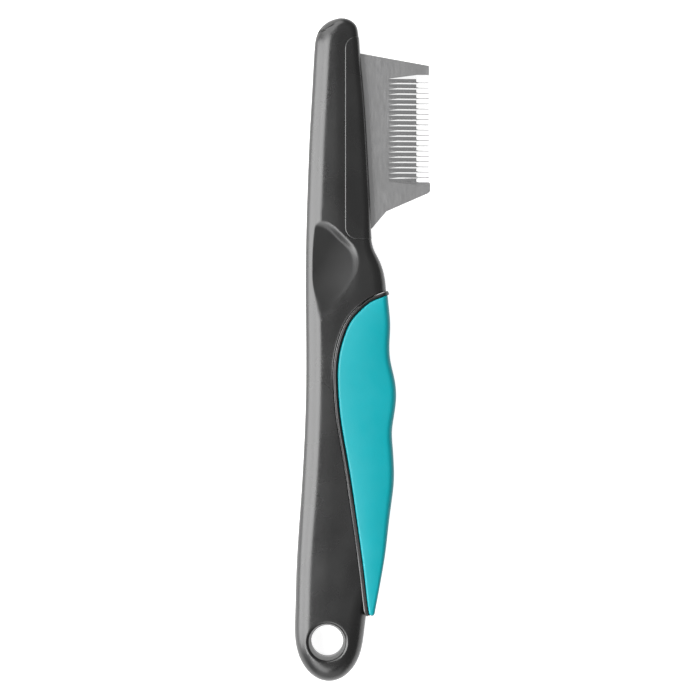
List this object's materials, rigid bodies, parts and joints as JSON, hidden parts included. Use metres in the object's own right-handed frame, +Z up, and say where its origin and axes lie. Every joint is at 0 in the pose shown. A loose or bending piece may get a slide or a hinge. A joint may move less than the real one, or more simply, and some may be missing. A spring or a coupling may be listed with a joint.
{
  "type": "flea comb",
  "caption": "Pet comb with a short row of fine steel teeth set sideways in the head of a slim moulded handle with a soft finger grip.",
  "frame": {"origin": "middle of the rectangle the comb covers, on the flat side face that it lies on", "axes": "+Y along the comb to the head end, +X to the side the teeth point to, +Z up through the thickness, away from the face it lies on"},
  "size_m": [0.0368, 0.18, 0.011],
  "materials": {
    "handle_plastic": "satin moulded black",
    "carrier_plastic": "satin moulded black",
    "rim_plastic": "satin black",
    "blade_steel": "satin ground",
    "pin_steel": "turned",
    "grip_rubber": "soft-touch turquoise"
  },
  "bodies": {
    "root": {"handle_front_shell": "handle_plastic", "handle_back_shell": "handle_plastic", "blade": "blade_steel", "blade_carrier_front": "carrier_plastic", "blade_carrier_back": "carrier_plastic", "tang_dowels": "pin_steel", "grip_frame": "rim_plastic", "soft_grip": "grip_rubber", "shell_screws": "pin_steel"}
  },
  "joints": []
}
